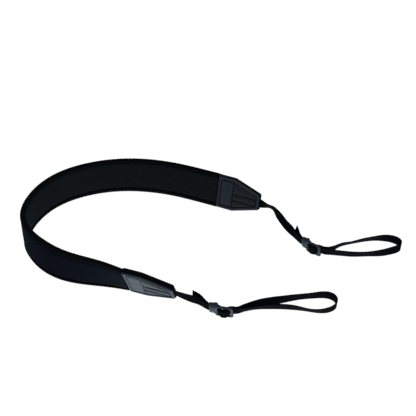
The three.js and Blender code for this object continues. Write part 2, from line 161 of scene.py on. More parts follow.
def surfaceMesh(name, points, closedAlong=False, paintedShade=None):
    # Copies of a grid, with points as (copy, along, around, xyz). The around way is closed, and the
    # along way is closed as well or gets a flat lid at both ends. Faces point out of the shape, the
    # map "cloth" holds the metres along and around, and a point attribute how dark the painted
    # shade of seams and grooves is there.
    copies, rows, columns, _ = points.shape
    number = np.arange(copies * rows * columns).reshape(copies, rows, columns)
    spans = rows if closedAlong else rows - 1
    first = np.arange(spans)
    second = (first + 1) % rows
    beside = np.roll(number, -1, 2)
    quads = np.stack([number[:, first], number[:, second], beside[:, second], beside[:, first]], -1)
    quads = quads.reshape(-1, 4)
    corners = points.reshape(-1, 3)
    a, b, c, d = (corners[quads[:, k]] - corners.mean(0) for k in range(4))
    volume = (np.cross(a, b) * c).sum() + (np.cross(a, c) * d).sum()
    middle = points[0].mean(1)
    wayAlong = np.append(lengthsAlong(middle), lengthsAlong(middle)[-1] + fineStep)
    ring = points[0, rows // 2]
    wayAround = lengthsAlong(np.vstack([ring, ring[:1]]))
    u = np.stack([wayAlong[first], wayAlong[first + 1], wayAlong[first + 1], wayAlong[first]], -1)
    v = np.stack([wayAround[:-1], wayAround[:-1], wayAround[1:], wayAround[1:]], -1)
    cloth = np.stack(np.broadcast_arrays(u[None, :, None], v[None, None]), -1)
    cloth = np.broadcast_to(cloth, (copies,) + cloth.shape[1:]).reshape(-1, 4, 2)
    if volume < 0:
        quads = quads[:, ::-1]
        cloth = cloth[:, ::-1]
    faces = quads.tolist()
    lids = [] if closedAlong else np.concatenate([number[:, 0], number[:, -1, ::-1]]).tolist()
    if volume > 0:
        lids = [lid[::-1] for lid in lids]
    mesh = bpy.data.meshes.new(name)
    mesh.from_pydata(corners.tolist(), [], faces + lids)
    layer = mesh.uv_layers.new(name="cloth")
    flat = np.zeros((len(mesh.loops), 2))
    flat[: quads.size] = cloth.reshape(-1, 2)
    layer.data.foreach_set("uv", flat.astype(np.float32).ravel())
    if paintedShade is not None:
        depths = np.broadcast_to(paintedShade, points.shape[:3]).astype(np.float32).ravel()
        mesh.attributes.new("paintedShade", "FLOAT", "POINT").data.foreach_set("value", depths)
    mesh.polygons.foreach_set("use_smooth", np.ones(len(mesh.polygons), bool))
    mesh.set_sharp_from_angle(angle=math.radians(sharpAngle))
    mesh.update()
    return mesh


def addPiece(name, mesh, material, slot, *nodes):
    # One object of the strap, with its material and the CAD nodes that it stands for. The slot is not used.
    piece = bpy.data.objects.new(name, mesh)
    bpy.context.scene.collection.objects.link(piece)
    mesh.materials.append(material)
    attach(piece, "root")
    if nodes:
        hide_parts(*nodes)
    return piece


class Wire:
    # An output socket of a node. Operators on it add Math nodes.
    def __init__(self, nodes, socket):
        self.nodes = nodes
        self.socket = socket

    def maths(self, operation, first, second=0.0):
        return self.nodes.node("ShaderNodeMath", {"operation": operation}, {0: first, 1: second})

    def __add__(self, other):
        return self.maths("ADD", self, other)

    def __radd__(self, other):
        return self.maths("ADD", other, self)

    def __sub__(self, other):
        return self.maths("SUBTRACT", self, other)

    def __rsub__(self, other):
        return self.maths("SUBTRACT", other, self)

    def __mul__(self, other):
        return self.maths("MULTIPLY", self, other)

    def __rmul__(self, other):
        return self.maths("MULTIPLY", other, self)

    def sine(self):
        return self.maths("SINE", self)

    def absolute(self):
        return self.maths("ABSOLUTE", self)


class Nodes:
    # A tree of nodes with one shader, to which nodes are added one by one.
    def __init__(self, tree, shader):
        self.tree = tree
        self.shader = tree.nodes[shader]

    def node(self, kind, settings, values, output=0):
        # A new node: its settings first, then its sockets, each with a value or linked to a wire.
        made = self.tree.nodes.new(kind)
        for setting, value in settings.items():
            setattr(made, setting, value)
        for socket, value in values.items():
            if isinstance(value, Wire):
                self.tree.links.new(value.socket, made.inputs[socket])
            else:
                made.inputs[socket].default_value = value
        return Wire(self, made.outputs[output])

    def hold(self, **constants):
        # Values set on the shader's own sockets.
        for socket, value in constants.items():
            self.shader.inputs[socket.replace("_", " ")].default_value = value

    def feed(self, **wires):
        # Wires linked to the shader's sockets.
        for socket, wire in wires.items():
            self.tree.links.new(wire.socket, self.shader.inputs[socket.replace("_", " ")])

    def byRay(self, indirect, direct):
        # One brightness for the light that reaches the strap and another for what the camera sees.
        seen = self.node("ShaderNodeLightPath", {}, {}, "Is Camera Ray")
        values = {"Factor": seen, "A": indirect, "B": direct}
        return self.node("ShaderNodeMix", {"data_type": "FLOAT"}, values, "Result")


class Finish(Nodes):
    # A material with a Principled shader.
    def __init__(self, name, **constants):
        self.material = bpy.data.materials.new(name)
        self.material.use_nodes = True
        super().__init__(self.material.node_tree, "Principled BSDF")
        self.hold(**constants)

    def cloth(self):
        # Metres along and around the piece.
        mapped = self.node("ShaderNodeUVMap", {"uv_map": "cloth"}, {})
        along = self.node("ShaderNodeSeparateXYZ", {}, {0: mapped}, 0)
        around = self.node("ShaderNodeSeparateXYZ", {}, {0: mapped}, 1)
        return along, around

    def place(self):
        # Object coordinates, in metres.
        return self.node("ShaderNodeTexCoord", {}, {}, "Object")

    def noise(self, scale, detail=3.0, roughness=0.55):
        # Cloudy noise from 0 to 1, with scale clouds to the metre.
        return self.node(
            "ShaderNodeTexNoise",
            {"noise_dimensions": "3D"},
            {"Vector": self.place(), "Scale": scale, "Detail": detail, "Roughness": roughness},
        )

    def blend(self, share, low, high):
        # Two colours mixed by share. Each is three numbers or a wire.
        colours = [colour if isinstance(colour, Wire) else (*colour, 1.0) for colour in (low, high)]
        values = {"Factor": share, "A": colours[0], "B": colours[1]}
        return self.node("ShaderNodeMix", {"data_type": "RGBA"}, values, "Result")

    def tone(self, share, look):
        # The look's colour, darker or lighter by its contrast with share, and near black where the painted
        # shade of seams and grooves lies.
        low = scaled(look["colour"], 1 - look["contrast"])
        high = scaled(look["colour"], 1 + look["contrast"])
        # Painted shade: the attribute for the shade of seams and grooves pulls the colour towards near
        # black.
        paintedShade = self.node("ShaderNodeAttribute", {"attribute_name": "paintedShade"}, {}, "Fac")
        return self.blend(paintedShade, self.blend(share, low, high), scaled(look["colour"], paintedShadeTone))

    def relief(self, height, depth):
        # depth is the height of the relief in metres where height goes from 0 to 1.
        return self.node("ShaderNodeBump", {}, {"Height": height, "Distance": depth, "Strength": 1.0})


def scaled(colour, share):
    # Each channel of a colour times the share.
    return tuple(channel * share for channel in colour)


paintedShadeTone = 0.1  # share of its colour that a finish keeps deep in the painted shade of a seam
weave = {
    "sheenRoughness": 0.45,
    "crossLeast": 0.5,  # height left where the crossing threads dip
    "roughnessSpread": 0.15,
}
grain = {
    "cellSlope": 3.0,  # how steeply a cell rises from its border
    "cellShare": 0.7,  # of the relief, beside the fine noise
    "fineScale": 2.5,  # how many times finer than the cells the fine noise is
    "fineDetail": 4.0,
    "slowShare": 0.5,  # of the colour, beside the relief
    "fineSpread": 0.12,
    "cellSpread": 0.1,
}
spark = {
    "fineDetail": 5.0,
    "slowShare": 0.7,  # of the colour, beside the fine noise
    "roughnessSpread": 0.15,
}


def wovenFinish(name, look):
    # Two crossing sets of threads: the product of two rectified sine waves, the second one lifted, set
    # on the diagonal for a twill, with a slow mottle of the colour over it.
    finish = Finish(
        name,
        Sheen_Weight=look["sheen"],
        Sheen_Roughness=weave["sheenRoughness"],
        Sheen_Tint=(*look["sheenTint"], 1.0),
        Specular_IOR_Level=look["specular"],
    )
    along, around = finish.cloth()
    turn = math.pi / look["pitch"]
    lift = ((along + around * look["slant"]) * turn).sine().absolute()
    cross = ((around - along * look["slant"]) * (turn * look["crossShare"])).sine().absolute()
    threads = lift * (cross * (1 - weave["crossLeast"]) + weave["crossLeast"])
    mottle = finish.noise(look["mottleScale"])
    colour = finish.tone(threads * look["threadShare"] + mottle * (1 - look["threadShare"]), look)
    roughness = look["roughness"] + (mottle - 0.5) * weave["roughnessSpread"]
    finish.feed(Base_Color=colour, Roughness=roughness, Normal=finish.relief(threads, look["depth"]))
    return finish.material


def leatherFinish(name, look):
    # Grain from the borders of small cells with finer noise inside, and paler, smoother high spots.
    finish = Finish(name, Specular_IOR_Level=look["specular"])
    cells = finish.node(
        "ShaderNodeTexVoronoi",
        {"feature": "DISTANCE_TO_EDGE"},
        {"Vector": finish.place(), "Scale": look["grainScale"]},
        "Distance",
    )
    fine = finish.noise(look["grainScale"] * grain["fineScale"], grain["fineDetail"])
    slow = finish.noise(look["mottleScale"])
    risen = cells.maths("MINIMUM", cells * grain["cellSlope"], 1.0)
    skin = risen * grain["cellShare"] + fine * (1 - grain["cellShare"])
    colour = finish.tone(skin * (1 - grain["slowShare"]) + slow * grain["slowShare"], look)
    matt = look["roughness"] + (fine - 0.5) * grain["fineSpread"]
    roughness = matt + (0.5 - skin) * grain["cellSpread"]
    finish.feed(Base_Color=colour, Roughness=roughness, Normal=finish.relief(skin, look["depth"]))
    return finish.material


def plasticFinish(name, look):
    # A fine spark-eroded texture, with slight cloudiness in colour and gloss.
    finish = Finish(name, Specular_IOR_Level=look["specular"])
    fine = finish.noise(look["grainScale"], spark["fineDetail"])
    slow = finish.noise(look["mottleScale"])
    colour = finish.tone(slow * spark["slowShare"] + fine * (1 - spark["slowShare"]), look)
    roughness = look["roughness"] + (slow - 0.5) * spark["roughnessSpread"]
    finish.feed(Base_Color=colour, Roughness=roughness, Normal=finish.relief(fine, look["depth"]))
    return finish.material


cloths = {
    "outerCloth": {
        "colour": (0.0085, 0.0125, 0.0245), "contrast": 0.3, "roughness": 0.75, "specular": 0.05,
        "sheen": 0.01, "sheenTint": (0.35, 0.5, 1.0), "pitch": 0.0006, "slant": 0.0,
        "crossShare": 0.7, "threadShare": 0.4, "depth": 0.00005, "mottleScale": 60.0,
    },
    "innerCloth": {
        "colour": (0.0290, 0.0345, 0.0395), "contrast": 0.3, "roughness": 0.8, "specular": 0.05,
        "sheen": 0.01, "sheenTint": (0.6, 0.8, 0.9), "pitch": 0.0026, "slant": 0.8,
        "crossShare": 0.35, "threadShare": 0.8, "depth": 0.00008, "mottleScale": 50.0,
    },
    "tapeCloth": {
        "colour": (0.0120, 0.0135, 0.0150), "contrast": 0.3, "roughness": 0.7, "specular": 0.1,
        "sheen": 0.01, "sheenTint": (0.7, 0.85, 1.0), "pitch": 0.0007, "slant": 0.0,
        "crossShare": 0.5, "threadShare": 0.6, "depth": 0.00006, "mottleScale": 80.0,
    },
    "webbingCloth": {
        "colour": (0.0090, 0.0105, 0.0120), "contrast": 0.35, "roughness": 0.7, "specular": 0.02,
        "sheen": 0.0, "sheenTint": (0.7, 0.85, 1.0), "pitch": 0.0009, "slant": 0.35,
        "crossShare": 0.6, "threadShare": 0.7, "depth": 0.0001, "mottleScale": 90.0,
    },
    "thread": {
        "colour": (0.0060, 0.0070, 0.0085), "contrast": 0.3, "roughness": 0.55, "specular": 0.2,
        "sheen": 0.0, "sheenTint": (1.0, 1.0, 1.0), "pitch": 0.0003, "slant": 1.0,
        "crossShare": 0.5, "threadShare": 0.7, "depth": 0.00003, "mottleScale": 120.0,
    },
}
finishes = {name: wovenFinish(name, look) for name, look in cloths.items()}
leathers = {
    "capSkin": {
        "colour": (0.072, 0.088, 0.120), "contrast": 0.2, "roughness": 0.4, "specular": 0.5,
        "grainScale": 900.0, "mottleScale": 70.0, "depth": 0.00006,
    },
    "capEdge": {
        "colour": (0.0050, 0.0057, 0.0068), "contrast": 0.3, "roughness": 0.6, "specular": 0.15,
        "grainScale": 1300.0, "mottleScale": 90.0, "depth": 0.0001,
    },
}
finishes.update({name: leatherFinish(name, look) for name, look in leathers.items()})
finishes["buckleNylon"] = plasticFinish("buckleNylon", {
    "colour": (0.098, 0.120, 0.160), "contrast": 0.12, "roughness": 0.4, "specular": 0.4,
    "grainScale": 2600.0, "mottleScale": 160.0, "depth": 0.00002,
})
print("finishes made")

band = {
    "length": 0.450,
    "width": 0.041,
    "heading": 157,  # the way it sets off from its near end
    "edgeRadius": 0.003,
    "tapeReach": 0.0042,
    # Even steps from the near end to the far end: the turn from heading, and the top's lean outwards.
    "turn": [0, 7, -18, -41, -73, -95, -122, -145, -166, -181, -185],
    "lean": [27, 12, 1, 2, 2, 4, 7, 10, 13, 13, 13],
}

halfBand = band["width"] / 2


def bandHeight(lean, _):
    # So high that the rounded lower edge rests on the floor: the cosine of the lean times the way from
    # the middle to that edge's centre, plus its radius.
    return (halfBand - band["edgeRadius"]) * np.cos(np.radians(lean)) + band["edgeRadius"]


bandLine = walk(0 * upright, band["heading"], band["length"], [band["turn"], band["lean"]], bandHeight)

tape = {
    "seamAngle": 25,  # of the stitched line up the fold, from the band's face
    "seamSpread": 8,
    "seamDepth": 0.0005,
    "middleDip": 0.00015,  # of the fold's top
    "middleSpread": 16,
    "lipProud": 0.0001,
    "lipRound": 0.0005,
    "lipWay": 0.0006,  # up the face, over which the lip is rounded
    "wall": 0.001,
    "pucker": 0.0001,
    "seamShade": 0.85,  # how dark the painted shade in the stitched lines is, up to 1
    "sideRows": 8,
    "foldRows": 41,
}
panel = {
    "crown": 0.0030,  # from the band's middle to the fullest part of a face
    "shoulder": 0.0026,
    "foot": 0.0014,  # where a face meets the tape's lip
    "ditch": 0.0032,  # how far from the lip a face has risen in full
    "crownPower": 3,
    "risePower": 2.2,
    "swell": 0.00005,
    # Crossing waves of the swell, each as how close it lies along the band and how it slants.
    "waves": [(31, 0.7), (53, -1.1), (17, 0.4)],
    "waveAlong": 6,
    "waveAcross": 160,
    "waveShift": 1.7,
    "rows": 49,
    "tuckFrom": 0.0008,  # past the lip, under the tape
    "tuckTo": 0.0013,  # short of the tape's top
    "back": 0.00015,  # from the band's middle
    "shadeFrom": 0.0003,  # from the lip, where the painted shade of the seam starts to fade
    "shadeTo": 0.0018,  # and where it has gone
}
stitch = {
    "pitch": 0.0032,
    "length": 0.0025,
    "radius": 0.00024,
    "arch": 0.8,  # how far its middle rises, in radii
    "rings": [-0.98, -0.7, 0.0, 0.7, 0.98],  # from end to end
    "sides": 6,
}


def tapeProfile(way):
    # Down one face from the lip, over the fold and down the other: a half circle whose radius dips in
    # a bell at each stitched line and at the top, between straight sides, and a thin return inside.
    # The painted shade's values are bells in the stitched lines and 0 elsewhere.
    radius = band["edgeRadius"]
    lip = halfBand - band["tapeReach"]
    side = np.linspace(lip, halfBand - radius, tape["sideRows"])[:-1]
    fold = np.linspace(0, 180, tape["foldRows"])
    sewnAt = (tape["seamAngle"], 180 - tape["seamAngle"])
    lines = sum(bumpAt(fold - angle, tape["seamSpread"]) for angle in sewnAt)
    wave = 0.5 - 0.5 * np.cos(2 * np.pi * way / stitch["pitch"])
    dip = tape["seamDepth"] * lines + tape["middleDip"] * bumpAt(fold - 90, tape["middleSpread"])
    out = radius - dip - tape["pucker"] * wave[:, None] * lines
    foldOut = out * np.cos(np.radians(fold))
    foldUp = halfBand - radius + out * np.sin(np.radians(fold))
    count = len(way)
    edge = tape["lipProud"] - tape["lipRound"] * (1 - smoothStep(lip, lip + tape["lipWay"], side))
    sideOut = np.broadcast_to(foldOut[:, :1] + edge, (count, len(side)))
    inner = radius - tape["wall"]
    back = np.broadcast_to([-inner, -inner, inner, inner], (count, 4))
    across = np.concatenate([sideOut, foldOut, -sideOut[:, ::-1], back], 1)
    top = halfBand - tape["wall"]
    sideUp = np.broadcast_to(side, (count, len(side)))
    backUp = np.broadcast_to([lip, top, top, lip], (count, 4))
    along = np.concatenate([sideUp, foldUp, sideUp[:, ::-1], backUp], 1)
    # Painted shade in the stitched grooves of the tape.
    paintedShade = np.concatenate([0 * side, tape["seamShade"] * lines, 0 * side, np.zeros(4)])
    return across, along, paintedShade


def facePuff(way, height, seed):
    # The puffed face: it rises from the lip in a smooth step, is fullest along its middle, and has
    # slow uneven swells of three crossing waves.
    edge = halfBand - band["tapeReach"]
    inside = np.clip((edge - np.abs(height)) / panel["ditch"], 0, 1)
    crown = lerp(panel["shoulder"], panel["crown"], 1 - np.abs(height / edge) ** panel["crownPower"])
    swell = 0
    for k, (waves, tilt) in enumerate(panel["waves"]):
        along = way * waves * panel["waveAlong"]
        across = height * panel["waveAcross"] * tilt
        swell = swell + np.sin(along + across + seed * (k + panel["waveShift"]))
    return lerp(panel["foot"], crown + panel["swell"] * swell, 1 - (1 - inside) ** panel["risePower"])


def panelGrid(line, way, side, seed):
    # The puffed face, tucked under both tapes, closed by a flat back near the band's middle.
    lip = halfBand - band["tapeReach"]
    tuck = lip + panel["tuckFrom"]
    edge = halfBand - panel["tuckTo"]
    rows = lip * np.sin(np.linspace(-np.pi / 2, np.pi / 2, panel["rows"]))
    height = np.concatenate([[-edge, -tuck], rows, [tuck, edge]])
    face = facePuff(way[:, None], height, seed)
    back = np.full((len(way), 5), panel["back"])
    across = np.concatenate([face, back], 1) * side
    along = np.concatenate([height, np.linspace(edge, -edge, 5)])
    # Painted shade in the groove by the tape's lip, fading away from it.
    paintedShade = 1 - smoothStep(panel["shadeFrom"], panel["shadeTo"], lip - np.abs(along))
    return carried(line["at"], line["up"], across, along), paintedShade


def stitchRow(centres, forward, outward, size=1.0):
    # Small threads: a round tube whose radius is the root of 1 - s^2 along it, arched outwards.
    rings = np.array(stitch["rings"])
    turns = np.linspace(0, 2 * np.pi, stitch["sides"], endpoint=False)
    forward = unit(forward)
    outward = unit(outward)
    aside = np.cross(forward, outward)
    girth = size * stitch["radius"] * np.sqrt(1 - rings**2)
    arch = size * stitch["radius"] * stitch["arch"] * (1 - rings**2)
    reach = stitch["length"] / 2 * rings / size
    middle = centres[:, None] + forward[:, None] * reach[:, None] + outward[:, None] * arch[:, None]
    spin = outward[:, None] * np.cos(turns)[:, None] + aside[:, None] * np.sin(turns)[:, None]
    return middle[:, :, None] + spin[:, None] * girth[:, None, None]


bandWay = np.linspace(0, band["length"], len(bandLine["at"]))
tapeAcross, tapeAlong, tapePaintedShade = tapeProfile(bandWay)
upperTape = carried(bandLine["at"], bandLine["up"], tapeAcross, tapeAlong)
lowerTape = carried(bandLine["at"], bandLine["up"], -tapeAcross, -tapeAlong)

# The strap's place: its lower tape lies in the box of the CAD's lower tape.
move = np.array(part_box("lower_binding")[0]) - lowerTape.reshape(-1, 3).min(0)
bandLine["at"] = bandLine["at"] + move
upperTape = upperTape + move
lowerTape = lowerTape + move

for name, grid, node in (
    ("upper_tape", upperTape, "upper_binding"),
    ("lower_tape", lowerTape, "lower_binding"),
):
    addPiece(name, surfaceMesh(name, grid[None], paintedShade=tapePaintedShade), finishes["tapeCloth"], "binding", node)
for name, side, seed, look, slot, node in (
    ("outer_face", 1, 1.0, "outerCloth", "pad_outer", "outer_panel"),
    ("inner_face", -1, 2.0, "innerCloth", "pad_inner", "inner_panel"),
):
    grid, paintedShade = panelGrid(bandLine, bandWay, side, seed)
    face = addPiece(name, surfaceMesh(name, grid[None], paintedShade=paintedShade), finishes[look], slot, node)

stitchAt = np.arange(stitch["pitch"] / 2, band["length"], stitch["pitch"])
stitchIndex = np.round(stitchAt / fineStep).astype(int)
left, upward = framesAlong(bandLine["at"], bandLine["up"])
forward = np.cross(left, upward)
seamOut = band["edgeRadius"] - tape["seamDepth"] - tape["pucker"]
seamTurn = math.radians(tape["seamAngle"])
rowsOfStitches = []
for face in (-1, 1):
    for edge in (-1, 1):
        outward = face * left * math.cos(seamTurn) + edge * upward * math.sin(seamTurn)
        middle = bandLine["at"] + upward * (halfBand - band["edgeRadius"]) * edge + outward * seamOut
        rowsOfStitches.append(stitchRow(middle[stitchIndex], forward[stitchIndex], outward[stitchIndex]))
bandStitches = surfaceMesh("band_stitches", np.concatenate(rowsOfStitches))
addPiece("band_stitches", bandStitches, finishes["thread"], "binding")
print("band made")

cap = {
    "length": 0.055,
    "shoulder": 0.0215,  # length at full width, before the taper
    "field": 0.0205,  # length up to the sunk line beside the bare field
    "width": 0.040,
    "tipWidth": 0.019,
    "tipDrop": 0.0008,  # how far the narrow end lies below the middle of the band
    "webbingDrop": 0.0022,  # and how far the webbing leaves it below the same middle
    "corner": 0.0025,
    "gap": 0.0003,
}

capFace = {
    "inner": 0.0023,  # from the cap's middle to the back of a face
    "outer": 0.0035,
    "inset": 0.0008,  # of a face's edge from the cap's outline
    "cornerSharpness": 2600,  # of the outline's corners, 1 over the length that they are rounded by
    "round": 0.0012,
    "edgeDrop": 0.0009,
    "rimRise": 0.0004,
    "rimFrom": 0.0017,
    "rimWidth": 0.0011,
    "lineFrom": 0.0039,  # from the face's edge to the sunk line inside the rim
    "lineWidth": 0.0006,
    "lineDepth": 0.0009,
    "tunnel": 0.0074,  # between the two lines over the webbing
    "tunnelRise": 0.0006,
    "slopeRise": 0.0004,  # of the slopes beside the tunnel
    "fieldEdge": 0.0013,  # from the sunk line to the flat of the bare field
    "labelRise": 0.0002,  # of the bare field
    "crossWiden": 1.15,  # width of the line across the cap, in widths of the others
    "crossStart": (-0.0003, 0.0002),  # where it sets in, from the sunk line along the edge
    # Lengths over which the relief beyond the lines rises: inwards, along, up the slopes, up the tunnel.
    "insideWay": 0.0012,
    "pastWay": 0.001,
    "slopeWay": 0.003,
    "tunnelWay": 0.006,
    "slopeShade": 0.5,  # painted shade: how much darker the slopes beside the tunnel are
    "rows": 200,
    "columns": 141,
}

capRim = {
    "half": 0.0026,  # of its thickness
    "bulge": 0.0012,
    "bulgePower": 2.6,
    "ribs": 92,
    "ribDepth": 0.00022,
    "around": 620,
    "across": 21,
}

capThread = {
    "sunk": 0.00005,  # below the bottom of the lines
    "tackRise": 0.0003,  # of the thick threads at the two ends of the line across
    "tackShift": 0.0004,
    "tackSize": 1.6,
}


def capEdges(a, inset):
    # The cap's lower and upper edge at each length a, with the tip's two corners rounded off.
    end = cap["length"] - inset
    taper = np.clip((a - cap["shoulder"]) / (cap["length"] - cap["shoulder"]), 0, 1)
    half = cap["width"] / 2
    tip = cap["tipWidth"] / 2
    corner = cap["corner"]
    past = np.clip(a - (end - corner), 0, corner)
    cut = corner - np.sqrt(corner**2 - past**2)
    lower = lerp(-half, -cap["tipDrop"] - tip, taper) + inset + cut
    upper = lerp(half, -cap["tipDrop"] + tip, taper) - inset - cut
    return lower, upper


def edgeDistance(a, c, inset):
    # How far a point lies inside the outline: the soft least of its distances to the six edges.
    half = cap["width"] / 2
    tip = cap["tipWidth"] / 2
    run = cap["length"] - cap["shoulder"]
    parts = [a - cap["gap"], cap["length"] - a, half - c, half + c]
    for side, drop in ((1, cap["tipDrop"]), (-1, -cap["tipDrop"])):
        rise = half - tip + drop
        slope = rise / run
        parts.append((half - slope * (a - cap["shoulder"]) - side * c) / math.hypot(1, slope))
    sharpness = capFace["cornerSharpness"]
    total = sum(np.exp(-sharpness * part) for part in parts)
    return -np.log(total) / sharpness - inset


def capFaceGrid(side):
    # A face of a cap: rows at even lengths, each from the lower to the upper edge and back behind. Its
    # height is a quarter round at the edge, plus a bell for the rim, less bells for the sunk lines, plus
    # half a wave of a cosine over the webbing and smooth steps for the slopes and the bare field.
    inset = capFace["inset"]
    a = np.linspace(cap["gap"] + inset, cap["length"] - inset, capFace["rows"])
    lower, upper = capEdges(a, inset)
    across = np.linspace(0, 1, capFace["columns"])
    c = lower[:, None] + (upper - lower)[:, None] * across
    a = np.broadcast_to(a[:, None], c.shape)
    d = edgeDistance(a, c, inset)
    edge = np.minimum(np.clip(1 - d / capFace["round"], 0, 1), almost)
    height = capFace["outer"] - capFace["edgeDrop"] * (1 - np.sqrt(1 - edge**2))
    height = height + capFace["rimRise"] * bumpAt(d - capFace["rimFrom"], capFace["rimWidth"])
    line = bumpAt(d - capFace["lineFrom"], capFace["lineWidth"])
    deep = d - capFace["lineFrom"]
    inside = smoothStep(0, capFace["insideWay"], deep)
    beyond = a - cap["field"]
    cross = bumpAt(beyond, capFace["lineWidth"] * capFace["crossWiden"])
    cross = cross * smoothStep(*capFace["crossStart"], deep)
    past = smoothStep(0, capFace["pastWay"], beyond) * inside
    c0 = c + cap["webbingDrop"]
    ridge = np.abs(c0) - capFace["tunnel"] / 2
    seams = bumpAt(ridge, capFace["lineWidth"]) * past
    sunk = np.maximum(np.maximum(line, cross), seams)
    tunnel = np.cos(np.clip(c0 / capFace["tunnel"], -0.5, 0.5) * np.pi)
    slopes = capFace["slopeRise"] * smoothStep(0, capFace["slopeWay"], ridge)
    slopes = slopes * smoothStep(0, capFace["slopeWay"], deep) * past
    flat = smoothStep(0, capFace["fieldEdge"], np.minimum(deep, -beyond))
    height = height - capFace["lineDepth"] * sunk
    over = smoothStep(0, capFace["tunnelWay"], beyond)
    height = height + capFace["tunnelRise"] * tunnel * past * over + slopes
    height = height + capFace["labelRise"] * flat
    backRow = np.linspace(1, 0, 4)
    backC = lower[:, None] + (upper - lower)[:, None] * backRow
    backA = np.broadcast_to(a[:, :1], backC.shape)
    backHeight = np.full(backC.shape, capFace["inner"])
    rows = [np.concatenate(pair, 1) for pair in ((a, backA), (height, backHeight), (c, backC))]
    # Painted shade: near black in the sunk lines, and darker past the line across, inside the sunk line.
    shade = np.maximum(np.clip(sunk, 0, 1), capFace["slopeShade"] * past)
    paintedShade = np.concatenate([shade, 0 * backC], 1)
    return np.stack([rows[0], rows[1] * side, rows[2]], -1), paintedShade


def capCoreGrid():
    # The dark edge of a cap: its outline as a closed line, with a rounded rim whose bulge is the root of
    # 1 - |s|^p across it, less ribs that follow a cosine around it.
    a = np.linspace(cap["gap"], cap["length"], 400)
    lower, upper = capEdges(a, 0)
    outline = np.concatenate([
        np.stack([a, lower], -1),
        np.stack([np.full(20, cap["length"]), np.linspace(lower[-1], upper[-1], 22)[1:-1]], -1),
        np.stack([a, upper], -1)[::-1],
        np.stack([np.full(60, cap["gap"]), np.linspace(upper[0], lower[0], 62)[1:-1]], -1),
    ])
    closed = np.vstack([outline, outline[:1]])
    way = lengthsAlong(closed)
    even = np.linspace(0, way[-1], capRim["around"], endpoint=False)
    line = np.stack([np.interp(even, way, closed[:, k]) for k in (0, 1)], -1)
    ahead = np.roll(line, -2, 0) - np.roll(line, 2, 0)
    outward = unit(np.stack([ahead[:, 1], -ahead[:, 0]], -1))
    rib = 0.5 + 0.5 * np.cos(2 * np.pi * even / (way[-1] / capRim["ribs"]))
    s = np.linspace(-1, 1, capRim["across"])
    swell = -capRim["bulge"] + capRim["bulge"] * np.sqrt(1 - np.abs(s) ** capRim["bulgePower"] * almost)
    ribs = -capRim["ribDepth"] * rib[:, None] * (1 - s**4)
    spread = swell + ribs
    a3 = line[:, None, 0] + outward[:, None, 0] * spread
    c3 = line[:, None, 1] + outward[:, None, 1] * spread
    grid = np.stack([a3, np.broadcast_to(s * capRim["half"], a3.shape), c3], -1)
    return grid.transpose(1, 0, 2)


def pointsAt(line, spots, depth):
    # Points at spots along a flat line, all at one depth, by interpolation over its length.
    way = lengthsAlong(line)
    a, c = (np.interp(spots, way, column) for column in line.T)
    return np.stack([a, np.full(len(spots), depth), c], -1)


def capSeams(side):
    # Where the cap's threads lie: along the sunk line, across at the shoulder, and over the webbing.
    inset = capFace["inset"] + capFace["lineFrom"]
    a = np.linspace(cap["gap"] + inset, cap["length"] - inset, 300)
    half = cap["width"] / 2 - inset
    run = cap["length"] - cap["shoulder"]
    lines = []
    taper = np.clip(a - cap["shoulder"], 0, None)
    for edge in (-1, 1):
        slope = (cap["width"] / 2 - cap["tipWidth"] / 2 + edge * cap["tipDrop"]) / run
        fall = slope * (a - cap["shoulder"]) - inset * (1 - math.hypot(1, slope))
        height = edge * (half - np.maximum(fall, 0) * (taper > 0))
        lines.append(np.stack([a, height], -1))
    wide = np.linspace(-half, half, 40)
    lines.append(np.stack([np.full(40, a[0]), wide], -1))
    lines.append(np.stack([np.full(40, cap["field"]), wide], -1))
    tipLow, tipHigh = lines[0][-1, 1], lines[1][-1, 1]
    lines.append(np.stack([np.full(20, a[-1]), np.linspace(tipLow, tipHigh, 20)], -1))
    for edge in (-1, 1):
        height = -cap["webbingDrop"] + edge * capFace["tunnel"] / 2
        lines.append(np.stack([np.linspace(cap["field"], a[-1], 60), np.full(60, height)], -1))
    stitches = []
    depth = (capFace["outer"] - capFace["lineDepth"] - capThread["sunk"]) * side
    for line in lines:
        whole = lengthsAlong(line)[-1]
        count = max(int(whole / stitch["pitch"]), 2)
        spots = (np.arange(count) + 0.5) * whole / count
        at = pointsAt(line, spots, depth)
        ahead = pointsAt(line, spots + fineStep, depth)
        outward = np.broadcast_to([0.0, side, 0.0], at.shape)
        stitches.append(stitchRow(at, ahead - at + 1e-9, outward))
    tackDepth = depth + capThread["tackRise"] * side
    shifts = (-capThread["tackShift"], 0, capThread["tackShift"])
    for edge in (-1, 1):
        at = np.array([[cap["field"], tackDepth, edge * half + shift] for shift in shifts])
        outward = np.broadcast_to([0.0, side, 0.0], at.shape)
        forward = np.broadcast_to([1.0, 0.0, 0.0], at.shape)
        stitches.append(stitchRow(at, forward, outward, capThread["tackSize"]))
    return np.concatenate(stitches)


def superRing(low, high, count, power):
    # A rounded rectangle by angle t: its radius is (|cos t / a|^p + |sin t / b|^p)^(-1/p).
    t = np.linspace(0, 2 * np.pi, count, endpoint=False)
    centre = (np.array(low) + np.array(high)) / 2
    a, b = (np.array(high) - np.array(low)) / 2
    radius = (np.abs(np.cos(t) / a) ** power + np.abs(np.sin(t) / b) ** power) ** (-1 / power)
    return centre + np.stack([np.cos(t), np.sin(t)], -1) * radius[:, None]


def ringWall(outer, inner, middle, half, power=5, taper=0.0):
    # The wall between two rings: a rounded square carried round, from inner to outer and across. The
    # outer ring shrinks by the share taper of the wall towards the low end.
    section = superRing([-1, -1], [1, 1], 24, power)
    share = (section[:, 0] + 1) / 2 * (1 - taper * (1 - section[:, 1]) / 2)
    plane = inner[:, None] + (outer - inner)[:, None] * share[:, None]
    depth = np.broadcast_to(middle + half * section[:, 1], plane.shape[:2])
    return plane, depth


